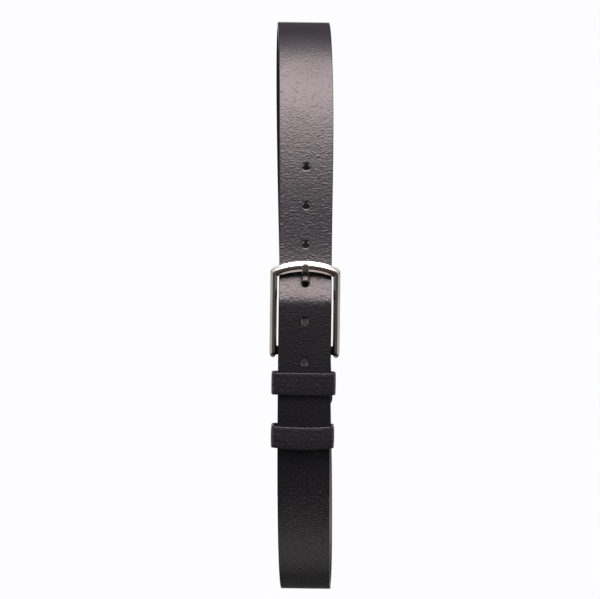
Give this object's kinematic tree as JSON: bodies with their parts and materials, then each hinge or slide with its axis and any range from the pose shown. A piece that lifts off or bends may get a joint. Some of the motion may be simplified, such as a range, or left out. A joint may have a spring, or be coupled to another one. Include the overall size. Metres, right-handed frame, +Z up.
{
  "type": "leather belt",
  "caption": "Leather dress belt buckled into a hanging loop, with arched frame buckle, single prong, fixed keeper, sliding keeper and punched holes.",
  "frame": {"origin": "hanging point, on the inside of the loop's top bend, at mid width", "axes": "+Z up along the hanging loop, buckle on the -Y side facing -Y, strap width along X"},
  "size_m": [0.0464, 0.2005, 0.403],
  "materials": {
    "face_leather": "pebbled semi-gloss black",
    "core_board": "bonded leather stiffener",
    "lining_leather": "smooth matt lining",
    "keeper_leather": "smooth semi-gloss black",
    "buckle_metal": "polished dark nickel",
    "prong_metal": "polished dark nickel",
    "bar_steel": "drawn steel",
    "rivets": "nickel plated",
    "staples": "drawn wire"
  },
  "bodies": {
    "strap": {"strap_face": "face_leather", "strap_core": "core_board", "strap_lining": "lining_leather", "rivet_posts": "rivets", "rivet_caps": "rivets", "fixed_keeper": "keeper_leather", "fixed_keeper_staple": "staples"},
    "buckle": {"buckle_frame": "buckle_metal", "buckle_bar": "bar_steel"},
    "prong": {"prong": "prong_metal"},
    "sliding_keeper": {"sliding_keeper": "keeper_leather", "sliding_keeper_staple": "staples"}
  },
  "joints": [
    {"name": "buckle_tilt", "type": "hinge", "parent": "strap", "child": "buckle", "pos_m": [0, -0.09264, -0.22772], "axis": [1, 0, 0], "range_deg": [0, 0.8]},
    {"name": "prong_lift", "type": "hinge", "parent": "buckle", "child": "prong", "pos_m": [0, -0.09264, -0.22772], "axis": [1, 0, 0], "range_deg": [0, 0.6]},
    {"name": "keeper_slide", "type": "hinge", "parent": "strap", "child": "sliding_keeper", "pos_m": [0, 0.2331, -0.21036], "axis": [1, 0, 0], "range_deg": [-1.4, 5]}
  ]
}
